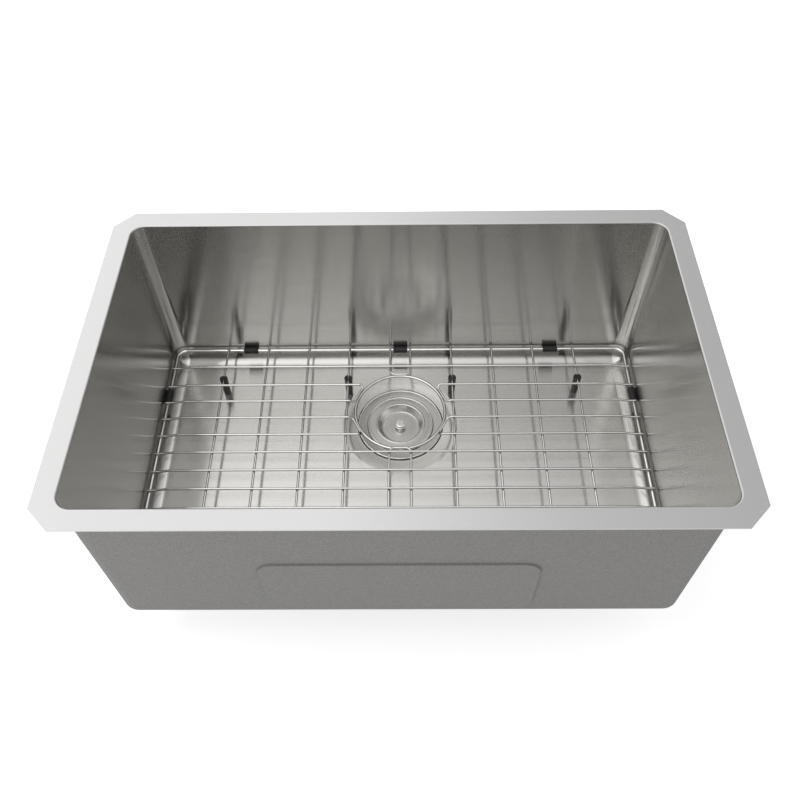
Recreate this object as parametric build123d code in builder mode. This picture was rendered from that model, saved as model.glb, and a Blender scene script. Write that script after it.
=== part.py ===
from build123d import *

import math
import os

# Undermount kitchen sink: a pressed stainless bowl with a flat hung rim, sound pads and a
# sprayed undercoat, a welded wire grid on rubber feet, and a basket strainer in the drain.
# Millimetres. Origin at the centre of the rim's top face, +X along the bowl, +Y to the
# back wall, +Z up.

os.makedirs("parts", exist_ok=True)

# Bowl: inside sizes
bowl_length = 640.0
bowl_width = 384.0
floor_depth = 252.5         # rim's top face down to the floor beside the walls
corner_radius = 16.0        # upright corners
bend_radius = 17.0          # wall into floor
sheet = 1.5

# Rim
rim_width = 23.0
rim_corner_cut = 23.0
rim_bend = 2.0              # rounded lip between the rim and the wall

# Creased floor and drain recess
crease_margin = 4.0         # flat strip between the floor bend and the creased panel
floor_fall = 1.5
drain_y = 79.0
recess_radius = 80.0
recess_depth = 3.4
seat_radius = 62.0
seat_fall = 3.0             # from the seat's edge to the drain hole
drain_hole_radius = 45.0

# Undercoat and sound pads
coat = 0.6
coat_top_gap = 10.0         # bare steel left under the rim
coat_drain_radius = 66.0    # bare steel left round the locknut
pad_thickness = 3.5
pad_corner = 18.0
pad_edge = 1.2              # softened outer edge
wall_pad_height = 110.0
wall_pad_middle = 171.0     # below the rim's top face
long_pad_length = 298.0
end_pad_length = 170.0
bottom_pad_length = 150.0
bottom_pad_width = 210.0
bottom_pad_x = 200.0
bottom_pad_y = -20.0

# Strainer body
flange_radius = 57.8
flange_thickness = 1.2
flange_edge_roll = 0.9
flange_inner_radius = 47.0
flange_gasket_thickness = 0.8
flange_gasket_inner = 46.0
cup_radius = 41.5           # inside
cup_wall = 2.2
cup_shoulder = 5.0          # drop of the rounded mouth
cup_depth = 44.0
cup_floor_thickness = 2.5
cup_bend = 6.0
outlet_collar = 34.0        # radius of the flat collar that closes the cup's floor
outlet_radius = 20.5        # inside
outlet_wall = 3.4
outlet_length = 24.0
outlet_chamfer = 1.0

# Spider in the outlet, which the basket's post plugs into
spider_drop = 8.0
spider_thickness = 2.0
spider_arm_width = 4.0
hub_radius = 8.0
hub_hole_radius = 4.0

# Fastening below the sink
thread_gap = 0.2
sink_gasket_radius = 58.0
sink_gasket_thickness = 3.0
friction_ring_radius = 56.0
friction_ring_thickness = 1.0
locknut_radius = 52.0
locknut_height = 10.0
locknut_lugs = 8
locknut_lug_width = 9.0
locknut_lug_reach = 5.0
locknut_lug_height = 6.0

# Basket
basket_sheet = 0.8
lip_radius = 44.75
lip_turn = 1.6              # height of the turned-down edge
lip_bend = 1.1
mouth_radius = 31.2
mouth_bead = 0.9            # raised bead round the dish's mouth
mouth_bead_width = 2.6
dish_floor_radius = 25.6
dish_depth = 9.0
dish_bend = 2.4
skirt_radius = 34.8
skirt_bend = 3.0
skirt_hole_radius = 2.3
skirt_hole_rows = 3
skirt_hole_pitch = 8.0
skirt_holes_round = 18
seal_radius = 26.0
seal_thickness = 3.0
seal_edge = 1.0

# Basket's post, knob and catch
post_radius = 3.0
post_running_gap = 0.08
knob_radius = 7.45
knob_half_height = 2.8
knob_crown = 2.7            # rounding of the top edge
knob_under = 1.2            # rounding of the lower edge
knob_neck_radius = 4.2
knob_foot_gap = 0.4         # neck clear of the dish, which turns below it
knob_drop = 1.6             # knob's middle below the basket's lip
post_nut_radius = 5.5
post_nut_height = 4.0
catch_radius = 3.6
catch_height = 2.4
catch_gap = 1.2             # below the spider

# Bottom grid
frame_wire = 5.0
rod_wire = 3.0
ring_wire = 4.0
frame_corner = 12.0         # on the frame's centre line
ring_radius = 60.0          # on the ring's centre line
rod_overhang = 2.0          # rod ends past the frame's centre line
rod_bend = 6.0
hairpin_bend = 4.5
middle_hairpin_bend = 7.0
first_rod_x = 14.1
outer_rod_inset = 71.65     # from the frame's centre line
outer_rods_each_side = 4
side_hairpin_pitch = 27.2
side_hairpin_half_gap = 13.5
front_rods = 7
rear_rod_y = 151.5
ramp_start = 9.0            # from the frame inwards along a long rod
ramp_length = 15.0
tip_offset = 0.5            # middle hairpin tips outside the ring's centre line
slant_offset = 2.2          # side hairpin slants outside the ring's centre line
tip_ramp_length = 5.6

# Rubber feet and bumpers on the grid
foot_radius = 5.5           # at the top
foot_sole_radius = 4.5
foot_top = 3.0              # above the rod's middle
foot_rise = 28.2            # rod's middle above the foot's sole
foot_clearance = 0.05
foot_slit = 0.6
foot_notch_width = 3.6
foot_notch_length = 3.2
foot_round = 1.0
rear_foot_y = 131.6
front_foot_y = -138.5
bumper_diameter = 9.5
bumper_length = 20.0
bumper_wall_gap = 0.3
bumper_edge = 0.6
long_side_bumper_x = 212.0
rear_end_bumper_y = 106.2
front_end_bumper_y = -111.3


def write(piece, name):
    """Label one finished piece and write it under the name of its node."""
    piece.label = name
    export_step(piece, f"parts/{name}.step")


# ---------------------------------------------------------------- bowl

crease_length = bowl_length - 2 * (bend_radius + crease_margin)
crease_width = bowl_width - 2 * (bend_radius + crease_margin)
seat_edge_depth = floor_depth + floor_fall + recess_depth
opening_half_length = bowl_length / 2
opening_half_width = bowl_width / 2


def seat_z(radius):
    """Height of the drain seat's top face at a radius from the drain's axis."""
    slope = seat_fall / (seat_radius - drain_hole_radius)
    return -seat_edge_depth - slope * (seat_radius - radius)


def drain_plane():
    """Upright plane through the drain: its x is the radius and its y is the height."""
    return Plane((0, drain_y, 0), x_dir=(1, 0, 0), z_dir=(0, -1, 0))


drain_axis = Axis((0, drain_y, 0), (0, 0, 1))


def basin(grow):
    """The bowl's inside form, grown outwards by the thickness of a skin."""
    floor_z = -(floor_depth + grow)
    crease_z = floor_z - floor_fall
    seat_edge = (seat_radius, -seat_edge_depth - grow)
    seat_slope = seat_fall / (seat_radius - drain_hole_radius)
    with BuildPart() as form:
        with BuildSketch():
            RectangleRounded(bowl_length + 2 * grow, bowl_width + 2 * grow, corner_radius + grow)
        extrude(amount=floor_z)
        fillet(form.faces().sort_by(Axis.Z)[0].edges(), bend_radius + grow)
        with BuildSketch(Plane.XY.offset(floor_z)):
            Rectangle(crease_length, crease_width)
        with BuildSketch(Plane.XY.offset(crease_z)):
            with Locations((0, drain_y)):
                Circle(recess_radius)
        loft(ruled=True)
        with BuildSketch(drain_plane()):
            with BuildLine():
                Line((0, crease_z), (recess_radius, crease_z))
                Spline(
                    (recess_radius, crease_z),
                    seat_edge,
                    tangents=((-1, 0), (-1, -seat_slope)),
                )
                Polyline(
                    seat_edge,
                    (drain_hole_radius, seat_z(drain_hole_radius) - grow),
                    (0, seat_z(drain_hole_radius) - grow),
                    (0, crease_z),
                )
            make_face()
        revolve(axis=drain_axis)
    return form.part


inside_form = basin(0)
outside_form = basin(sheet)
coated_form = basin(sheet + coat)


def edges_within(part, height, half_length, half_width):
    """Edges of a part at one height that lie inside a rectangle about the origin."""
    level = part.edges().filter_by_position(Axis.Z, height, height)
    inside = level.filter_by_position(Axis.X, -half_length, half_length)
    return inside.filter_by_position(Axis.Y, -half_width, half_width)


with BuildPart() as sink_bowl:
    with BuildSketch(Plane.XY.offset(-sheet)) as rim_outline:
        Rectangle(bowl_length + 2 * rim_width, bowl_width + 2 * rim_width)
        chamfer(rim_outline.vertices(), rim_corner_cut)
    extrude(amount=sheet)
    add(outside_form)
    fillet(
        edges_within(sink_bowl, -sheet, opening_half_length + sheet, opening_half_width + sheet),
        rim_bend - sheet,
    )
    add(inside_form, mode=Mode.SUBTRACT)
    with BuildSketch(Plane.XY.offset(-floor_depth)):
        with Locations((0, drain_y)):
            Circle(drain_hole_radius)
    extrude(amount=-floor_depth, mode=Mode.SUBTRACT)
    fillet(edges_within(sink_bowl, 0, opening_half_length, opening_half_width), rim_bend)
write(sink_bowl.part, "sink_bowl")

# ---------------------------------------------------------------- sound pads and undercoat


def wall_pad(length, face_plane):
    """A rounded pad glued to the outside of a wall, its outer edge softened."""
    with BuildPart() as pad:
        with BuildSketch(face_plane):
            RectangleRounded(length, wall_pad_height, pad_corner)
        extrude(amount=pad_thickness)
        outer_face = pad.faces().sort_by(Axis(face_plane.origin, face_plane.z_dir))[-1]
        fillet(outer_face.edges(), pad_edge)
    return pad.part


def bottom_pad(side):
    """A pad under the creased floor, left (-1) or right (1) of the drain."""
    sole_depth = floor_depth + sheet + floor_fall + pad_thickness
    with BuildPart() as pad:
        with BuildSketch(Plane.XY.offset(-sole_depth)):
            with Locations((side * bottom_pad_x, bottom_pad_y)):
                RectangleRounded(bottom_pad_length, bottom_pad_width, pad_corner)
        extrude(amount=floor_fall + pad_thickness + sheet)
        fillet(pad.faces().sort_by(Axis.Z)[0].edges(), pad_edge)
        add(outside_form, mode=Mode.SUBTRACT)
    return pad.part


wall_x = opening_half_length + sheet
wall_y = opening_half_width + sheet
pads = {
    "sound_pad_front": wall_pad(
        long_pad_length, Plane((0, -wall_y, -wall_pad_middle), x_dir=(1, 0, 0), z_dir=(0, -1, 0))
    ),
    "sound_pad_rear": wall_pad(
        long_pad_length, Plane((0, wall_y, -wall_pad_middle), x_dir=(1, 0, 0), z_dir=(0, 1, 0))
    ),
    "sound_pad_left": wall_pad(
        end_pad_length, Plane((-wall_x, 0, -wall_pad_middle), x_dir=(0, 1, 0), z_dir=(-1, 0, 0))
    ),
    "sound_pad_right": wall_pad(
        end_pad_length, Plane((wall_x, 0, -wall_pad_middle), x_dir=(0, 1, 0), z_dir=(1, 0, 0))
    ),
    "sound_pad_bottom_left": bottom_pad(-1),
    "sound_pad_bottom_right": bottom_pad(1),
}
for pad_name, pad_part in pads.items():
    write(pad_part, pad_name)

# The coat is sprayed on after the pads are glued, and here it stops at their edges.
with BuildPart() as undercoat:
    add(coated_form)
    add(outside_form, mode=Mode.SUBTRACT)
    with BuildSketch():
        Rectangle(bowl_length + 2 * rim_width, bowl_width + 2 * rim_width)
    extrude(amount=-coat_top_gap, mode=Mode.SUBTRACT)
    with BuildSketch(Plane.XY.offset(-floor_depth)):
        with Locations((0, drain_y)):
            Circle(coat_drain_radius)
    extrude(amount=-floor_depth, mode=Mode.SUBTRACT)
    for pad_part in pads.values():
        add(pad_part, mode=Mode.SUBTRACT)
write(undercoat.part, "undercoat")

# ---------------------------------------------------------------- strainer body

thread_radius = cup_radius + cup_wall


def flange_under_z(radius):
    """Underside of the strainer's flange, which lies on its gasket."""
    return seat_z(radius) + flange_gasket_thickness


def flange_top_z(radius):
    return flange_under_z(radius) + flange_thickness


lip_z = flange_top_z(flange_radius)
cup_floor_z = lip_z - cup_depth
outlet_end_z = cup_floor_z - outlet_length
outlet_outer = outlet_radius + outlet_wall

with BuildPart() as flange_gasket:
    with BuildSketch(drain_plane()):
        with BuildLine():
            Polyline(
                (flange_gasket_inner, seat_z(flange_gasket_inner)),
                (flange_radius, seat_z(flange_radius)),
                (flange_radius, flange_under_z(flange_radius)),
                (flange_gasket_inner, flange_under_z(flange_gasket_inner)),
                close=True,
            )
        make_face()
    revolve(axis=drain_axis)
write(flange_gasket.part, "flange_gasket")

with BuildPart() as strainer_body:
    mouth_z = flange_top_z(flange_inner_radius)
    roll_x = flange_radius - flange_edge_roll
    roll_z = flange_top_z(roll_x) - flange_edge_roll
    with BuildSketch(drain_plane()):
        with BuildLine():
            Polyline(
                (cup_radius, mouth_z - cup_shoulder),
                (cup_radius, cup_floor_z),
                (outlet_collar, cup_floor_z),
                (outlet_collar, cup_floor_z - cup_floor_thickness),
                (thread_radius, cup_floor_z - cup_floor_thickness),
                (thread_radius, flange_under_z(thread_radius)),
                (flange_radius, flange_under_z(flange_radius)),
                (flange_radius, roll_z),
            )
            CenterArc((roll_x, roll_z), flange_edge_roll, 0, 90)
            Line((roll_x, flange_top_z(roll_x)), (flange_inner_radius, mouth_z))
            EllipticalCenterArc(
                (flange_inner_radius, mouth_z - cup_shoulder),
                flange_inner_radius - cup_radius,
                cup_shoulder,
                start_angle=90,
                arc_size=90,
            )
        make_face()
    revolve(axis=drain_axis)
    cup_corners = strainer_body.edges().filter_by(GeomType.CIRCLE).filter_by_position(
        Axis.Z, cup_floor_z - cup_floor_thickness, cup_floor_z
    )
    cup_corners = [edge for edge in cup_corners if edge.radius > (outlet_collar + cup_radius) / 2]
    fillet(cup_corners, cup_bend)
write(strainer_body.part, "strainer_body")

# Threaded outlet, whose flat collar is welded into the cup and closes its floor
with BuildPart() as strainer_outlet:
    with BuildSketch(Plane((0, drain_y, outlet_end_z))):
        Circle(outlet_outer)
    extrude(amount=outlet_length)
    chamfer(strainer_outlet.faces().sort_by(Axis.Z)[0].edges(), outlet_chamfer)
    with BuildSketch(Plane((0, drain_y, cup_floor_z - cup_floor_thickness))):
        Circle(outlet_collar)
    extrude(amount=cup_floor_thickness)
    with BuildSketch(Plane((0, drain_y, outlet_end_z))):
        Circle(outlet_radius)
    extrude(amount=outlet_length, mode=Mode.SUBTRACT)
write(strainer_outlet.part, "strainer_outlet")

# Spider: two crossed arms and a hub across the outlet, which the basket's post plugs into
with BuildPart() as strainer_spider:
    arm_z = cup_floor_z - spider_drop - spider_thickness
    with BuildSketch(Plane((0, drain_y, arm_z))):
        Rectangle(2 * outlet_radius, spider_arm_width)
        Rectangle(spider_arm_width, 2 * outlet_radius)
        Circle(outlet_radius, mode=Mode.INTERSECT)
        Circle(hub_radius)
        Circle(hub_hole_radius, mode=Mode.SUBTRACT)
    extrude(amount=spider_thickness)
write(strainer_spider.part, "strainer_spider")

# Fastening: rubber gasket, friction ring and locknut, screwed up against the sink from below
gasket_sole_z = seat_z(drain_hole_radius) - sheet - sink_gasket_thickness
ring_sole_z = gasket_sole_z - friction_ring_thickness
washer_inner = thread_radius + thread_gap

with BuildPart() as sink_gasket:
    with BuildSketch(drain_plane()):
        with BuildLine():
            Polyline(
                (washer_inner, gasket_sole_z),
                (washer_inner, seat_z(drain_hole_radius) - sheet),
                (drain_hole_radius, seat_z(drain_hole_radius) - sheet),
                (sink_gasket_radius, seat_z(sink_gasket_radius) - sheet),
                (sink_gasket_radius, gasket_sole_z),
                close=True,
            )
        make_face()
    revolve(axis=drain_axis)
    add(outside_form, mode=Mode.SUBTRACT)
write(sink_gasket.part, "sink_gasket")

with BuildPart() as friction_ring:
    with BuildSketch(Plane((0, drain_y, ring_sole_z))):
        Circle(friction_ring_radius)
        Circle(washer_inner, mode=Mode.SUBTRACT)
    extrude(amount=friction_ring_thickness)
write(friction_ring.part, "friction_ring")

with BuildPart() as locknut:
    with BuildSketch(Plane((0, drain_y, ring_sole_z - locknut_height))):
        Circle(locknut_radius)
        Circle(washer_inner, mode=Mode.SUBTRACT)
    extrude(amount=locknut_height)
    with BuildSketch(Plane((0, drain_y, ring_sole_z - locknut_lug_height))):
        with PolarLocations(locknut_radius, locknut_lugs):
            Rectangle(2 * locknut_lug_reach, locknut_lug_width)
        Circle((locknut_radius + washer_inner) / 2, mode=Mode.SUBTRACT)
    extrude(amount=locknut_lug_height)
write(locknut.part, "locknut")

# ---------------------------------------------------------------- basket

seal_top_z = cup_floor_z + seal_thickness
dish_floor_z = lip_z - dish_depth
post_hole = post_radius + post_running_gap

with BuildPart() as basket_dish:
    sheet_middle = lip_z - basket_sheet / 2
    with BuildSketch(drain_plane()):
        with BuildLine() as pressed_sheet:
            FilletPolyline(
                (post_hole, dish_floor_z - basket_sheet / 2),
                (dish_floor_radius, dish_floor_z - basket_sheet / 2),
                (mouth_radius, sheet_middle + mouth_bead),
                (mouth_radius + mouth_bead_width, sheet_middle),
                (lip_radius - basket_sheet / 2, sheet_middle),
                (lip_radius - basket_sheet / 2, lip_z - lip_turn),
                radius=[dish_bend, mouth_bead, mouth_bead, lip_bend],
            )
        trace(pressed_sheet.line, line_width=basket_sheet)
    revolve(axis=drain_axis)
write(basket_dish.part, "basket_dish")

with BuildPart() as basket_skirt:
    with BuildSketch(Plane((0, drain_y, seal_top_z))):
        Circle(skirt_radius)
    extrude(amount=lip_z - basket_sheet - seal_top_z)
    fillet(basket_skirt.faces().sort_by(Axis.Z)[0].edges(), skirt_bend)
    offset(amount=-basket_sheet, openings=basket_skirt.faces().sort_by(Axis.Z)[-1])
    with BuildSketch(Plane((0, drain_y, seal_top_z))):
        Circle(post_hole)
    extrude(amount=basket_sheet, mode=Mode.SUBTRACT)
    first_row_z = (seal_top_z + lip_z - dish_depth) / 2
    for row in range(skirt_hole_rows):
        row_z = first_row_z + (row - (skirt_hole_rows - 1) / 2) * skirt_hole_pitch
        turn = 180 / skirt_holes_round * (row % 2)
        for step in range(skirt_holes_round):
            angle = math.radians(turn + 360 / skirt_holes_round * step)
            outwards = (math.cos(angle), math.sin(angle), 0)
            with BuildSketch(Plane((0, drain_y, row_z), z_dir=outwards)):
                Circle(skirt_hole_radius)
            extrude(amount=2 * skirt_radius, mode=Mode.SUBTRACT)
write(basket_skirt.part, "basket_skirt")

with BuildPart() as stopper_seal:
    with BuildSketch(Plane((0, drain_y, cup_floor_z))):
        Circle(seal_radius)
        Circle(post_hole, mode=Mode.SUBTRACT)
    extrude(amount=seal_thickness)
    rim_edges = stopper_seal.edges().filter_by(GeomType.CIRCLE).sort_by(Edge.length)[-2:]
    chamfer(rim_edges.sort_by(Axis.Z)[-1], seal_edge)
write(stopper_seal.part, "stopper_seal")

# Post, knob, nut and spring catch lift out with the basket, which turns on the post
knob_middle_z = lip_z - knob_drop
knob_foot_z = dish_floor_z + knob_foot_gap
post_end_z = cup_floor_z - spider_drop - spider_thickness - 2 * catch_gap - catch_height

with BuildPart() as center_post:
    with BuildSketch(Plane((0, drain_y, post_end_z))):
        Circle(post_radius)
    extrude(amount=knob_middle_z - post_end_z)
    chamfer(center_post.faces().sort_by(Axis.Z)[0].edges(), post_radius / 4)
write(center_post.part, "center_post")

with BuildPart() as basket_knob:
    with BuildSketch(Plane((0, drain_y, knob_middle_z - knob_half_height))):
        Circle(knob_radius)
    extrude(amount=2 * knob_half_height)
    fillet(basket_knob.faces().sort_by(Axis.Z)[-1].edges(), knob_crown)
    fillet(basket_knob.faces().sort_by(Axis.Z)[0].edges(), knob_under)
    with BuildSketch(Plane((0, drain_y, knob_foot_z))):
        Circle(knob_neck_radius)
    extrude(amount=knob_middle_z - knob_foot_z)
    with BuildSketch(Plane((0, drain_y, knob_foot_z))):
        Circle(post_radius)
    extrude(amount=knob_middle_z - knob_foot_z, mode=Mode.SUBTRACT)
write(basket_knob.part, "basket_knob")

with BuildPart() as post_nut:
    with BuildSketch(Plane((0, drain_y, cup_floor_z - post_nut_height))):
        RegularPolygon(post_nut_radius, 6)
        Circle(post_radius, mode=Mode.SUBTRACT)
    extrude(amount=post_nut_height)
write(post_nut.part, "post_nut")

with BuildPart() as spring_catch:
    catch_top_z = cup_floor_z - spider_drop - spider_thickness - catch_gap
    with BuildSketch(Plane((0, drain_y, catch_top_z - catch_height))):
        Circle(catch_radius)
        Circle(post_radius, mode=Mode.SUBTRACT)
    extrude(amount=catch_height)
    rims = spring_catch.edges().filter_by(GeomType.CIRCLE).sort_by(Edge.length)[-2:]
    chamfer(rims, (catch_radius - post_radius) / 2)
write(spring_catch.part, "spring_catch")

# ---------------------------------------------------------------- grid

frame_half_length = opening_half_length - bumper_wall_gap - bumper_diameter / 2
frame_half_width = opening_half_width - bumper_wall_gap - bumper_diameter / 2
outer_rod_x = frame_half_length - outer_rod_inset
rod_pitch_x = (outer_rod_x - first_rod_x) / outer_rods_each_side

# Each foot's sole lies on the creased floor where the highest foot meets it.
end_share = (crease_length / 2 - outer_rod_x - foot_radius) / (crease_length / 2 - recess_radius)
front_share = (crease_width / 2 + front_foot_y - foot_radius) / (crease_width / 2 + drain_y)
sole_z = foot_clearance - floor_depth - floor_fall * min(end_share, front_share)
cross_z = sole_z + foot_rise
frame_z = cross_z - (frame_wire + rod_wire) / 2
long_z = cross_z + rod_wire
end_z = cross_z             # a long rod's ends lie on the frame
weld_distance = (ring_wire + rod_wire) / 2
ring_z = cross_z - math.sqrt(weld_distance**2 - tip_offset**2)
slant_z = ring_z + math.sqrt(weld_distance**2 - slant_offset**2)


def bent_wire(points, bend, diameter):
    """A round wire along straight runs joined by tangent bends."""
    with BuildPart() as wire:
        with BuildLine() as route:
            FilletPolyline(*points, radius=bend)
        with BuildSketch(Plane(origin=route.line @ 0, z_dir=route.line % 0)):
            Circle(diameter / 2)
        sweep(path=route.line)
    return wire.part


with BuildPart() as grid_frame:
    with BuildLine() as frame_route:
        FilletPolyline(
            (0, -frame_half_width, frame_z),
            (frame_half_length, -frame_half_width, frame_z),
            (frame_half_length, frame_half_width, frame_z),
            (0, frame_half_width, frame_z),
            radius=frame_corner,
        )
    with BuildSketch(Plane(origin=frame_route.line @ 0, z_dir=frame_route.line % 0)):
        Circle(frame_wire / 2)
    sweep(path=frame_route.line)
    mirror(about=Plane.YZ)
write(grid_frame.part, "grid_frame")

with BuildPart() as drain_ring:
    with BuildSketch(drain_plane()):
        with Locations((ring_radius, ring_z)):
            Circle(ring_wire / 2)
    revolve(axis=drain_axis)
write(drain_ring.part, "drain_ring")

# Cross rods run front to back on top of the frame
rod_end_y = frame_half_width + rod_overhang
cross_rods = [side * (first_rod_x + rod_pitch_x * step) for side in (-1, 1)
              for step in range(1, outer_rods_each_side + 1)]
cross_rods.sort()
for number, rod_x in enumerate(cross_rods, start=1):
    with BuildPart() as cross_rod:
        with BuildSketch(Plane((rod_x, -rod_end_y, cross_z), z_dir=(0, 1, 0))):
            Circle(rod_wire / 2)
        extrude(amount=2 * rod_end_y)
    write(cross_rod.part, f"cross_rod_{number}")

# The two middle rods are hairpins whose tips lie on the drain ring
for side, place in ((1, "rear"), (-1, "front")):
    tip_y = drain_y + side * (ring_radius + tip_offset)
    hairpin_points = [
        (-first_rod_x, side * rod_end_y, cross_z),
        (-first_rod_x, tip_y, cross_z),
        (first_rod_x, tip_y, cross_z),
        (first_rod_x, side * rod_end_y, cross_z),
    ]
    write(bent_wire(hairpin_points, middle_hairpin_bend, rod_wire), f"middle_hairpin_{place}")

# Long rods run left to right over the cross rods and dip at their ends onto the frame
rod_end_x = frame_half_length + rod_overhang
ramp_low_x = frame_half_length - ramp_start
ramp_high_x = ramp_low_x - ramp_length
front_rod_y = drain_y - side_hairpin_half_gap - side_hairpin_pitch
long_rods = [rear_rod_y]
long_rods += [front_rod_y - side_hairpin_pitch * step for step in range(1, front_rods + 1)]
for number, rod_y in enumerate(long_rods, start=1):
    rod_points = [
        (-rod_end_x, rod_y, end_z),
        (-ramp_low_x, rod_y, end_z),
        (-ramp_high_x, rod_y, long_z),
        (ramp_high_x, rod_y, long_z),
        (ramp_low_x, rod_y, end_z),
        (rod_end_x, rod_y, end_z),
    ]
    write(bent_wire(rod_points, rod_bend, rod_wire), f"long_rod_{number}")

# Side hairpins stop at the ring: the slant between a hairpin's two legs is welded to it
slant_reach = ring_radius + slant_offset


def slant_x(offset, other):
    """Where the slant, tangent to the ring, meets the leg at this offset from the drain."""
    # The slant's line is x cos(a) + y sin(a) = reach; its angle a suits both legs alike.
    angle = math.asin((offset + other) / 2 / slant_reach)
    return (slant_reach - offset * math.sin(angle)) / math.cos(angle)


near = side_hairpin_half_gap
far = side_hairpin_half_gap + side_hairpin_pitch
for side, side_name in ((-1, "left"), (1, "right")):
    for depth, depth_name in ((1, "rear"), (-1, "front")):
        near_x = slant_x(near, far)
        far_x = slant_x(far, near)
        legs = ((near, near_x), (far, far_x))
        first, last = legs if side * depth > 0 else legs[::-1]
        points = []
        for offset, tip_x in (first, last):
            leg_y = drain_y + depth * offset
            leg = [
                (side * rod_end_x, leg_y, end_z),
                (side * ramp_low_x, leg_y, end_z),
                (side * ramp_high_x, leg_y, long_z),
                (side * (tip_x + tip_ramp_length), leg_y, long_z),
                (side * tip_x, leg_y, slant_z),
            ]
            points += leg if not points else leg[::-1]
        ramp_bend = rod_wire
        bends = [rod_bend, rod_bend, ramp_bend, hairpin_bend, hairpin_bend, ramp_bend, rod_bend, rod_bend]
        write(bent_wire(points, bends, rod_wire), f"side_hairpin_{side_name}_{depth_name}")

# Rubber feet: split at the top and pressed up over a cross rod
foot_rods = [cross_rods[0], cross_rods[3], cross_rods[4], cross_rods[7]]
foot_places = [(x, y) for y in (rear_foot_y, front_foot_y) for x in foot_rods]
for number, (foot_x, foot_y) in enumerate(foot_places, start=1):
    with BuildPart() as foot:
        with BuildSketch(Plane((foot_x, foot_y, sole_z))):
            Circle(foot_sole_radius)
        with BuildSketch(Plane((foot_x, foot_y, cross_z + foot_top))):
            Circle(foot_radius)
        loft()
        fillet(foot.edges().filter_by(GeomType.CIRCLE), foot_round)
        with BuildSketch(Plane((foot_x, foot_y - foot_radius, cross_z), z_dir=(0, 1, 0))):
            Circle(rod_wire / 2)
        extrude(amount=2 * foot_radius, mode=Mode.SUBTRACT)
        with BuildSketch(Plane((foot_x, foot_y, cross_z))):
            Rectangle(foot_slit, 2 * foot_radius)
            for end in (-1, 1):
                with BuildLine():
                    Polyline(
                        (-foot_notch_width / 2, end * foot_radius),
                        (foot_notch_width / 2, end * foot_radius),
                        (0, end * (foot_radius - foot_notch_length)),
                        close=True,
                    )
                make_face()
        extrude(amount=foot_top, mode=Mode.SUBTRACT)
    write(foot.part, f"grid_foot_{number}")


def bumpers(places, direction):
    """Rubber sleeves on the frame's wire, one group for each side of the grid."""
    with BuildPart() as group:
        for place_x, place_y in places:
            start = Vector(place_x, place_y, frame_z) - Vector(*direction) * bumper_length / 2
            with BuildSketch(Plane(start, z_dir=direction)):
                Circle(bumper_diameter / 2)
                Circle(frame_wire / 2, mode=Mode.SUBTRACT)
            extrude(amount=bumper_length)
        outer_rims = group.edges().filter_by(GeomType.CIRCLE).filter_by(
            lambda edge: abs(edge.radius - bumper_diameter / 2) < bumper_edge
        )
        chamfer(outer_rims, bumper_edge)
    return group.part


long_side = (-long_side_bumper_x, 0, long_side_bumper_x)
end_side = (rear_end_bumper_y, front_end_bumper_y)
write(bumpers([(x, frame_half_width) for x in long_side], (1, 0, 0)), "rear_bumpers")
write(bumpers([(x, -frame_half_width) for x in long_side], (1, 0, 0)), "front_bumpers")
write(bumpers([(-frame_half_length, y) for y in end_side], (0, 1, 0)), "left_bumpers")
write(bumpers([(frame_half_length, y) for y in end_side], (0, 1, 0)), "right_bumpers")
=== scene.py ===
import math

import bpy
from mathutils import Matrix, Vector


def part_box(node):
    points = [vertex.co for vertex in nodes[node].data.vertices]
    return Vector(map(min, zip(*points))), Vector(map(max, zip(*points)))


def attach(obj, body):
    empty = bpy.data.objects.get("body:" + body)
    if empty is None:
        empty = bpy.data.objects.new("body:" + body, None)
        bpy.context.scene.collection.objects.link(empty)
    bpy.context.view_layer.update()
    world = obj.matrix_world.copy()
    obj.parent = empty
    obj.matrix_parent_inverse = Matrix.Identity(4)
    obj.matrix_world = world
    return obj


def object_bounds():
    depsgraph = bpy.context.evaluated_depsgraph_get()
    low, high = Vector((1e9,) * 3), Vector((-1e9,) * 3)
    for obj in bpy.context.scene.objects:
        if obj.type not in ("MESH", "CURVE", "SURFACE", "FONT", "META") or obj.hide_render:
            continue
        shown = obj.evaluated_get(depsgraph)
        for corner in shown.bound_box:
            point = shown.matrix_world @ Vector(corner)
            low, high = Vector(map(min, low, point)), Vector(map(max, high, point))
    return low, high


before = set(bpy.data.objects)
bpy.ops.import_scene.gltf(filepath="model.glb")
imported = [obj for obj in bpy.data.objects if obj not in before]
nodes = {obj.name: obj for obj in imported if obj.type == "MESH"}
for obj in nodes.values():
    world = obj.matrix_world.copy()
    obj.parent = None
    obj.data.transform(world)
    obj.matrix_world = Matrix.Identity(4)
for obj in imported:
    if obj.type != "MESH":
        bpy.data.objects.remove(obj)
cad_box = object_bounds()
scene = bpy.context.scene

# ---------------------------------------------------------------- camera
# The photograph is taken from above the front edge, looking down over the bowl towards the
# back wall. The place and the tilts were worked out from the rim, the bowl's edges and the drain.

camera_place = Vector((0.010258, -0.557622, 0.665546))
camera_pitch = math.radians(53.730)
camera_yaw = math.radians(-0.920)
camera_roll = math.radians(-1.046)
sensor_width = 36.0
lens = 36.756

forward = Vector((
    math.sin(camera_yaw) * math.cos(camera_pitch),
    math.cos(camera_yaw) * math.cos(camera_pitch),
    -math.sin(camera_pitch),
))
level_right = Vector((math.cos(camera_yaw), -math.sin(camera_yaw), 0))
level_up = level_right.cross(forward)
right = level_right * math.cos(camera_roll) + level_up * math.sin(camera_roll)
up = -level_right * math.sin(camera_roll) + level_up * math.cos(camera_roll)
camera_turn = Matrix((right, up, -forward)).transposed().to_4x4()

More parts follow.
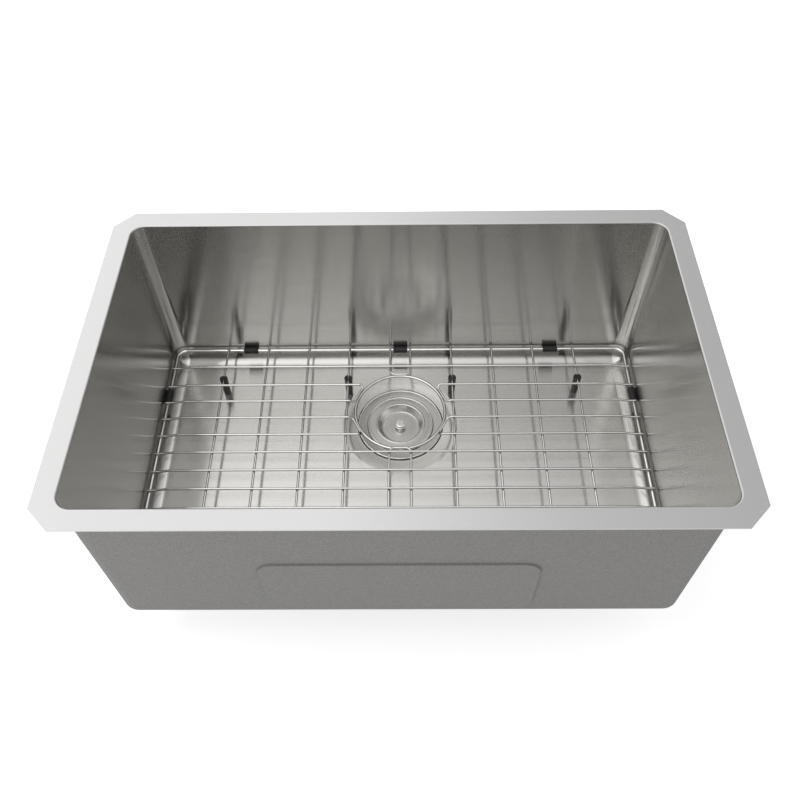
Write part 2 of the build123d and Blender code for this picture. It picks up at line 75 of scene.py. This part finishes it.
camera_data = bpy.data.cameras.new("photo_camera")
camera_data.sensor_width = sensor_width
camera_data.lens = lens
camera = bpy.data.objects.new("photo_camera", camera_data)
scene.collection.objects.link(camera)
camera.matrix_world = Matrix.Translation(camera_place) @ camera_turn
scene.camera = camera
scene.view_settings.view_transform = "Standard"

# ---------------------------------------------------------------- studio
# A pale paper floor under the hanging sink, a broad soft lamp over its left side and a fill
# lamp in front. The metal mirrors a graded ceiling, palest over the front left and darkest
# over the back right, as a product photographer sets it.

white = (1, 1, 1, 1)
black = (0, 0, 0, 1)
world_tint = (0.97, 0.98, 1.0, 1)
world_level = 0.50
floor_drop = 0.002          # the paper lies this far below the strainer
floor_half = 6.0
paper_grey = (0.80, 0.80, 0.80, 1)
paper_lift = 0.60           # what the camera sees of the paper above the lit level
ceiling_height = 2.2
ceiling_half = 6.0
glow_half = 4.0             # the ceiling's glow changes between -4 m and 4 m
# the ceiling's glow is the product of two levels, each given at places in metres
glow_across = ((-2.6, 1.5), (-1.3, 1.20), (-0.3, 1.15), (0.7, 0.74), (2.0, 0.54))
glow_along = ((-3.0, 1.10), (-1.6, 1.16), (-0.7, 1.08), (0.8, 0.82), (3.2, 0.84))
noise_low = 0.3             # most of a noise texture lies between these two
noise_high = 0.7


def feed(tree, socket, value):
    """Links an input to an output, or sets it to a plain value."""
    if isinstance(value, bpy.types.NodeSocket):
        tree.links.new(value, socket)
    else:
        socket.default_value = value


def set_up(tree, node, values):
    """Feeds a node's inputs, by name."""
    for socket_name, value in values.items():
        feed(tree, node.inputs[socket_name], value)


def maths(tree, operation, *values):
    """The result of a Math node."""
    node = tree.nodes.new("ShaderNodeMath")
    node.operation = operation
    for socket, value in zip(node.inputs, values):
        feed(tree, socket, value)
    return node.outputs["Value"]


def split(tree, vector):
    """The X, Y and Z of a vector."""
    node = tree.nodes.new("ShaderNodeSeparateXYZ")
    feed(tree, node.inputs["Vector"], vector)
    return node.outputs["X"], node.outputs["Y"], node.outputs["Z"]


def object_place(tree):
    """The place on the object, in metres."""
    return tree.nodes.new("ShaderNodeTexCoord").outputs["Object"]


def ramp(tree, value, stops):
    """A colour ramp over a value, from (place, colour) stops."""
    node = tree.nodes.new("ShaderNodeValToRGB")
    while len(node.color_ramp.elements) < len(stops):
        node.color_ramp.elements.new(0.5)
    for element, (place, colour) in zip(node.color_ramp.elements, stops):
        element.position = place
        element.color = (*colour, 1)
    feed(tree, node.inputs["Fac"], value)
    return node.outputs["Color"]


def spread(tree, value, low, high, from_low=noise_low, from_high=noise_high):
    """A value spread out over a new range. It is taken for a noise if no old range is given."""
    node = tree.nodes.new("ShaderNodeMapRange")
    set_up(tree, node, {
        "Value": value, "From Min": from_low, "From Max": from_high, "To Min": low, "To Max": high,
    })
    return node.outputs["Result"]


def seen_share(tree):
    """1 for what the camera sees, straight, mirrored or through something clear, and else 0."""
    path = tree.nodes.new("ShaderNodeLightPath")
    seen = maths(tree, "MAXIMUM", path.outputs["Is Camera Ray"], path.outputs["Is Glossy Ray"])
    return maths(tree, "MAXIMUM", seen, path.outputs["Is Transmission Ray"])


def mix_surfaces(tree, share, first, second, output):
    """Sends two shaders, mixed by a share from 0 to 1, to the output node."""
    mix = tree.nodes.new("ShaderNodeMixShader")
    feed(tree, mix.inputs["Fac"], share)
    feed(tree, mix.inputs[1], first.outputs[0])
    feed(tree, mix.inputs[2], second.outputs[0])
    feed(tree, output.inputs["Surface"], mix.outputs[0])


def plain_material(name):
    """A new material with its shader, ready for nodes of its own."""
    material = bpy.data.materials.new(name)
    material.use_nodes = True
    shader = material.node_tree.nodes["Principled BSDF"]
    return material, material.node_tree, shader


def level_plane(name, half, level):
    """A level square plane, centred on the sink."""
    bpy.ops.object.select_all(action="DESELECT")
    bpy.ops.mesh.primitive_plane_add(size=2 * half, location=(0, 0, level))
    made = bpy.context.object
    made.name = name
    return made


def area_lamp(name, place, size, power, tint):
    """A soft rectangular lamp aimed into the bowl."""
    target = Vector((0, 0, -0.1))
    data = bpy.data.lights.new(name, "AREA")
    data.shape = "RECTANGLE"
    data.size, data.size_y = size
    data.energy = power
    data.color = tint
    lamp = bpy.data.objects.new(name, data)
    scene.collection.objects.link(lamp)
    turn = (target - Vector(place)).to_track_quat("-Z", "Y").to_matrix().to_4x4()
    lamp.matrix_world = Matrix.Translation(place) @ turn
    lamp.visible_glossy = False


world = bpy.data.worlds.new("studio_world")
scene.world = world
world.use_nodes = True
world_tree = world.node_tree
world_tree.nodes.clear()
world_seen = world_tree.nodes.new("ShaderNodeBackground")
world_light = world_tree.nodes.new("ShaderNodeBackground")
world_output = world_tree.nodes.new("ShaderNodeOutputWorld")
set_up(world_tree, world_seen, {"Color": white})
set_up(world_tree, world_light, {"Color": world_tint, "Strength": world_level})
mix_surfaces(world_tree, seen_share(world_tree), world_light, world_seen, world_output)

area_lamp(
    "overhead_softbox", place=(-0.7, 0.3, 1.9), size=(1.6, 1.4), power=22, tint=(1.0, 0.99, 0.97)
)
area_lamp(
    "front_fill", place=(-1.0, -2.0, 1.1), size=(1.6, 1.0), power=13, tint=(1.0, 1.0, 1.0)
)

lowest_point = cad_box[0]
studio_floor = level_plane("studio_floor", floor_half, lowest_point[2] - floor_drop)
floor_material, floor_tree, floor_shader = plain_material("studio_paper")
set_up(floor_tree, floor_shader, {
    "Base Color": paper_grey,
    "Roughness": 0.9,
    "Specular IOR Level": 0.1,
    "Emission Color": white,
    "Emission Strength": maths(floor_tree, "MULTIPLY", seen_share(floor_tree), paper_lift),
})
# seen from below, the paper is clear
floor_below = floor_tree.nodes.new("ShaderNodeNewGeometry").outputs["Backfacing"]
floor_clear = floor_tree.nodes.new("ShaderNodeBsdfTransparent")
floor_output = floor_tree.nodes["Material Output"]
mix_surfaces(floor_tree, floor_below, floor_shader, floor_clear, floor_output)
studio_floor.data.materials.append(floor_material)

studio_ceiling = level_plane("studio_ceiling", ceiling_half, ceiling_height)
studio_ceiling.visible_camera = False
studio_ceiling.visible_diffuse = False
studio_ceiling.visible_shadow = False
ceiling_material, ceiling_tree, ceiling_shader = plain_material("graded_ceiling")


def glow(place, stops):
    """The ceiling's glow along one axis, from (metres, level) stops."""
    share = spread(ceiling_tree, place, 0, 1, -glow_half, glow_half)
    levels = []
    for metres, level in stops:
        levels.append(((metres + glow_half) / (2 * glow_half), (level, level, level)))
    return ramp(ceiling_tree, share, levels)


ceiling_x, ceiling_y, _ = split(ceiling_tree, object_place(ceiling_tree))
set_up(ceiling_tree, ceiling_shader, {
    "Base Color": black,
    "Specular IOR Level": 0,
    "Emission Color": white,
    "Emission Strength": maths(
        ceiling_tree, "MULTIPLY", glow(ceiling_x, glow_across), glow(ceiling_y, glow_along)
    ),
})
studio_ceiling.data.materials.append(ceiling_material)

# ---------------------------------------------------------------- bowl
# The bowl is pressed from one sheet of stainless steel 1.5 mm thick and brushed, lengthwise
# on the rim, floor, front and back, and front to back on the side walls. The drain recess and
# the creases of the floor are pressed in.

side_facing = 0.35          # a face counts as a side wall where its normal leans this far to X
fine_detail = 2
coarse_detail = 3
smear_detail = 3
coarse_share = 0.45         # how much of the tone the coarse streaks make up
# painted shade on the walls and painted light on the floor, on top of the steel's random grain
wall_tones_painted_shade = ((0.44, 0.432, 0.413), (0.52, 0.511, 0.489))
floor_tones_painted_light = ((0.815, 0.805, 0.783), (0.885, 0.875, 0.852))
rim_tones = ((0.75, 0.747, 0.745), (0.78, 0.777, 0.775))
rim_heights = (-0.03, -0.01)        # the floor's painted-light tones give way to the rim's between these
flat_levels = (0.6, 0.95)           # the walls' painted shade and finish give way to the flats' between these
bowl_roughness = (0.145, 0.165)
flat_roughening = 0.035             # the flats are rougher than the walls by this


def vector_maths(tree, operation, *values, result="Vector"):
    """The result of a Vector Math node."""
    node = tree.nodes.new("ShaderNodeVectorMath")
    node.operation = operation
    for socket, value in zip(node.inputs, values):
        feed(tree, socket, value)
    return node.outputs[result]


def join(tree, *parts):
    """A vector from its X, Y and Z. A missing Z is 0."""
    node = tree.nodes.new("ShaderNodeCombineXYZ")
    for socket, value in zip(node.inputs, parts):
        feed(tree, socket, value)
    return node.outputs["Vector"]


def blend(tree, share, low, high, kind="RGBA"):
    """Two colours, vectors or numbers blended by a share from 0 to 1."""
    node = tree.nodes.new("ShaderNodeMix")
    node.data_type = kind
    set_up(tree, node, {"Factor": share, "A": low, "B": high})
    return node.outputs["Result"]


def noise(tree, place, scale, detail):
    """Noise about 0.5 over a place."""
    node = tree.nodes.new("ShaderNodeTexNoise")
    set_up(tree, node, {"Vector": place, "Scale": scale, "Detail": detail})
    return node.outputs["Fac"]


def tones(tree, value, dark, light):
    """Colours from dark to light over a noise."""
    return ramp(tree, value, [(noise_low, dark), (noise_high, light)])


def bump(tree, height, strength, distance):
    """A normal tilted by a height, in metres at full strength."""
    node = tree.nodes.new("ShaderNodeBump")
    set_up(tree, node, {"Height": height, "Strength": strength, "Distance": distance})
    return node.outputs["Normal"]


def brushed_grain_group():
    """Long fine scratches along a given direction, with slow smears.

    The place comes in as metres along, across and through the brushing. It gives the height
    of the scratches, a tone about 0.5 that varies across them, and the smears."""
    group = bpy.data.node_groups.new("brushed_grain", "ShaderNodeTree")
    group.interface.new_socket("Vector", in_out="INPUT", socket_type="NodeSocketVector")
    for socket_name, value in (("Fine", 450), ("Coarse", 160), ("Along", 9), ("Smear", 7)):
        socket = group.interface.new_socket(
            socket_name, in_out="INPUT", socket_type="NodeSocketFloat"
        )
        socket.default_value = value
    for socket_name in ("Height", "Tone", "Smears"):
        group.interface.new_socket(socket_name, in_out="OUTPUT", socket_type="NodeSocketFloat")
    source = group.nodes.new("NodeGroupInput").outputs
    result = group.nodes.new("NodeGroupOutput")

    def streaks(density, detail):
        stretch = join(group, source["Along"], source[density], source[density])
        drawn_out = vector_maths(group, "MULTIPLY", source["Vector"], stretch)
        return noise(group, drawn_out, 1, detail)

    fine = streaks("Fine", fine_detail)
    coarse = streaks("Coarse", coarse_detail)
    set_up(group, result, {
        "Height": fine,
        "Tone": blend(group, coarse_share, fine, coarse, "FLOAT"),
        "Smears": noise(group, source["Vector"], source["Smear"], smear_detail),
    })
    return group


brushed_grain = brushed_grain_group()


def grain_over(tree, place, **densities):
    """The brushed grain in a material, with densities of its own."""
    node = tree.nodes.new("ShaderNodeGroup")
    node.node_tree = brushed_grain
    set_up(tree, node, {"Vector": place, **densities})
    return node.outputs


def brush_frame(tree):
    """The direction across the brushing, the place along it, and how level and high a face is.

    Faces turned to the sides are brushed front to back, and all others left to right."""
    normal = tree.nodes.new("ShaderNodeNewGeometry").outputs["Normal"]
    normal_x, _, normal_z = split(tree, normal)
    sideways = maths(tree, "GREATER_THAN", maths(tree, "ABSOLUTE", normal_x), side_facing)
    brushing = blend(tree, sideways, (1, 0, 0), (0, 1, 0), "VECTOR")
    across = vector_maths(tree, "CROSS_PRODUCT", brushing, normal)
    place = object_place(tree)
    x, y, height = split(tree, place)
    grain_place = blend(tree, sideways, place, join(tree, y, x, height), "VECTOR")
    return across, grain_place, maths(tree, "ABSOLUTE", normal_z), height


def dress(material, *names):
    """Gives CAD nodes their finish."""
    for name in names:
        nodes[name].data.materials.clear()
        nodes[name].data.materials.append(material)


bowl_steel, bowl_tree, bowl_shader = plain_material("bowl_steel")
bowl_across, bowl_place, bowl_level, bowl_height = brush_frame(bowl_tree)
bowl_grain = grain_over(bowl_tree, bowl_place, Fine=1500, Coarse=450)
# painted light and shade: the drawn walls are painted darkest, then the rim, and the floor
# lightest; the grain varies the tone at random on each
flat_colour = blend(
    bowl_tree,
    spread(bowl_tree, bowl_height, 0, 1, *rim_heights),
    tones(bowl_tree, bowl_grain["Tone"], *floor_tones_painted_light),
    tones(bowl_tree, bowl_grain["Tone"], *rim_tones),
)
bowl_colour = blend(
    bowl_tree,
    spread(bowl_tree, bowl_level, 0, 1, *flat_levels),
    tones(bowl_tree, bowl_grain["Tone"], *wall_tones_painted_shade),
    flat_colour,
)
smeared = spread(bowl_tree, bowl_grain["Smears"], *bowl_roughness)
roughened = spread(bowl_tree, bowl_level, 0, flat_roughening, *flat_levels)
set_up(bowl_tree, bowl_shader, {
    "Base Color": bowl_colour,
    "Roughness": maths(bowl_tree, "ADD", smeared, roughened),
    "Metallic": 0.95,
    "Anisotropic": 1.0,
    "Tangent": bowl_across,
    "Normal": bump(bowl_tree, bowl_grain["Height"], strength=0.03, distance=0.0003),
})
dress(bowl_steel, "sink_bowl")

# ---------------------------------------------------------------- undercoat and sound pads
# Rubber pads are glued to the outside of the walls and floor, and a grey anti-condensation
# coat is sprayed over the whole outside. It dries matte, with a fine pebbled skin.

undercoat_paint, coat_tree, coat_shader = plain_material("undercoat_paint")
coat_pebbles = noise(coat_tree, object_place(coat_tree), scale=900, detail=4)
set_up(coat_tree, coat_shader, {
    "Base Color": tones(coat_tree, coat_pebbles, (0.21, 0.205, 0.196), (0.345, 0.34, 0.33)),
    "Roughness": 0.75,
    "Specular IOR Level": 0.3,
    "Normal": bump(coat_tree, coat_pebbles, strength=0.5, distance=0.0006),
})
dress(
    undercoat_paint, "undercoat", "sound_pad_front", "sound_pad_rear", "sound_pad_left",
    "sound_pad_right", "sound_pad_bottom_left", "sound_pad_bottom_right",
)

# ---------------------------------------------------------------- strainer and basket
# The strainer's body and basket are pressed from thinner stainless sheet and polished on a
# lathe, which leaves fine rings about the drain's axis. The knob is turned from bar.

drain_low, drain_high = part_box("drain_ring")
drain_centre = (drain_low + drain_high) / 2
ring_density = 900
arc_radius = 0.03           # the radius at which an angle is measured along the rings
rough_swing = 0.04          # the roughness varies by this much either way


def turned_steel(name, dark, light, roughness, anisotropy):
    """Steel with fine rings about the drain's axis."""
    material, tree, shader = plain_material(name)
    axis = (drain_centre.x, drain_centre.y, 0)
    x, y, z = split(tree, vector_maths(tree, "SUBTRACT", object_place(tree), axis))
    outwards = join(tree, x, y)
    radius = vector_maths(tree, "LENGTH", outwards, result="Value")
    arc = maths(tree, "MULTIPLY", maths(tree, "ARCTAN2", y, x), arc_radius)
    grain = grain_over(tree, join(tree, arc, radius, z), Fine=ring_density)
    set_up(tree, shader, {
        "Base Color": tones(tree, grain["Tone"], dark, light),
        "Roughness": spread(
            tree, grain["Smears"], roughness - rough_swing, roughness + rough_swing
        ),
        "Metallic": 1,
        "Anisotropic": anisotropy,
        # the tangent points straight out from the axis, across the rings
        "Tangent": vector_maths(tree, "NORMALIZE", outwards),
        "Normal": bump(tree, grain["Height"], strength=0.05, distance=0.0002),
    })
    return material


strainer_steel = turned_steel(
    "strainer_steel", (0.56, 0.55, 0.53), (0.74, 0.73, 0.71), roughness=0.14, anisotropy=0.8
)
basket_steel = turned_steel(
    "basket_steel", (0.58, 0.57, 0.56), (0.80, 0.79, 0.77), roughness=0.17, anisotropy=0.8
)
knob_steel = turned_steel(
    "knob_steel", (0.86, 0.85, 0.84), (0.95, 0.94, 0.93), roughness=0.08, anisotropy=0.2
)
dress(strainer_steel, "strainer_body", "strainer_outlet", "strainer_spider")
dress(basket_steel, "basket_dish", "basket_skirt")
dress(knob_steel, "basket_knob", "center_post", "spring_catch")


def round_edge(name, node, body, radius, thickness, rise, material):
    """A rolled edge about the drain's axis, its top a little above that of a CAD node."""
    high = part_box(node)[1]
    bpy.ops.object.select_all(action="DESELECT")
    bpy.ops.mesh.primitive_torus_add(
        major_radius=radius, minor_radius=thickness, major_segments=144, minor_segments=16,
        location=(drain_centre.x, drain_centre.y, high.z + rise - thickness),
    )
    edge = bpy.context.object
    edge.name = name
    bpy.ops.object.shade_smooth()
    edge.data.materials.append(material)
    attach(edge, body)


round_edge(
    "flange_edge", "strainer_body", "sink",
    radius=0.0563, thickness=0.0015, rise=0.0002, material=knob_steel,
)
round_edge(
    "dish_edge", "basket_dish", "basket_cup",
    radius=0.0434, thickness=0.0013, rise=0.0002, material=knob_steel,
)
round_edge(
    "mouth_edge", "basket_dish", "basket_cup",
    radius=0.0322, thickness=0.0012, rise=0.0002, material=knob_steel,
)

# ---------------------------------------------------------------- fastenings
# A fibre ring and a die-cast locknut clamp the strainer's body against a rubber gasket, below
# the sink. A brass nut holds the seal on the basket's post.

mottle_detail = 5
mottle_swing = 0.06         # the roughness varies by this much either way


def cast_finish(name, dark, light, roughness, metallic, grain_scale):
    """A plain cast, pressed or turned finish with a little mottle."""
    material, tree, shader = plain_material(name)
    mottle = noise(tree, object_place(tree), grain_scale, mottle_detail)
    set_up(tree, shader, {
        "Base Color": tones(tree, mottle, dark, light),
        "Roughness": spread(tree, mottle, roughness - mottle_swing, roughness + mottle_swing),
        "Metallic": metallic,
        "Normal": bump(tree, mottle, strength=0.15, distance=0.0003),
    })
    return material


cast_zinc = cast_finish(
    "cast_zinc", (0.42, 0.42, 0.42), (0.56, 0.56, 0.55),
    roughness=0.42, metallic=1, grain_scale=500,
)
fibre = cast_finish(
    "fibre", (0.30, 0.22, 0.14), (0.46, 0.36, 0.24),
    roughness=0.85, metallic=0, grain_scale=900,
)
brass = cast_finish(
    "brass", (0.52, 0.38, 0.16), (0.66, 0.50, 0.24),
    roughness=0.28, metallic=1, grain_scale=400,
)
dress(cast_zinc, "locknut")
dress(fibre, "friction_ring")
dress(brass, "post_nut")

# ---------------------------------------------------------------- bottom grid
# Stainless wire, straightened, cut, bent and spot-welded at every crossing, then
# electropolished, so that it is bright and smooth with a faint waviness.

painted_reflection_blend = 0.5
painted_reflection_facing = (0.15, 0.55)          # a wire's painted reflection goes from bright to dark between these
wire_roughness = (0.08, 0.15)

grid_wire, wire_tree, wire_shader = plain_material("grid_wire")
wire_mottle = noise(wire_tree, object_place(wire_tree), scale=160, detail=3)
# painted reflection: towards its edges the wire's colour is darkened for the dull walls that a
# polished wire mirrors
wire_painted_reflection = wire_tree.nodes.new("ShaderNodeLayerWeight")
set_up(wire_tree, wire_painted_reflection, {"Blend": painted_reflection_blend})
wire_colour = blend(
    wire_tree,
    spread(wire_tree, wire_painted_reflection.outputs["Facing"], 0, 1, *painted_reflection_facing),
    tones(wire_tree, wire_mottle, (0.90, 0.89, 0.88), (0.98, 0.97, 0.96)),
    tones(wire_tree, wire_mottle, (0.16, 0.157, 0.153), (0.24, 0.236, 0.23)),
)
set_up(wire_tree, wire_shader, {
    "Base Color": wire_colour,
    "Roughness": spread(wire_tree, wire_mottle, *wire_roughness),
    "Metallic": 1,
    "Normal": bump(wire_tree, wire_mottle, strength=0.08, distance=0.0004),
})
wire_starts = ("cross_rod", "long_rod", "side_hairpin", "middle_hairpin")
wire_nodes = [n for n in nodes if n.startswith(wire_starts)]
dress(grid_wire, "grid_frame", "drain_ring", *wire_nodes)

# ---------------------------------------------------------------- rubber
# Moulded black rubber: the grid's feet and bumpers, the basket's seal and the gaskets.
# It is satin, with a faint bloom of dust.

black_rubber = cast_finish(
    "black_rubber", (0.010, 0.010, 0.010), (0.026, 0.026, 0.026),
    roughness=0.48, metallic=0, grain_scale=700,
)
rubber_nodes = [n for n in nodes if n.startswith("grid_foot") or n.endswith("bumpers")]
dress(black_rubber, "stopper_seal", "flange_gasket", "sink_gasket", *rubber_nodes)
# a thin black rubber ring round the flange: the gasket squeezed out a little, and painted shadow
# in the gap under the flange's edge
round_edge(
    "gasket_and_shadow_ring", "flange_gasket", "sink",
    radius=0.0580, thickness=0.0006, rise=0.0004, material=black_rubber,
)
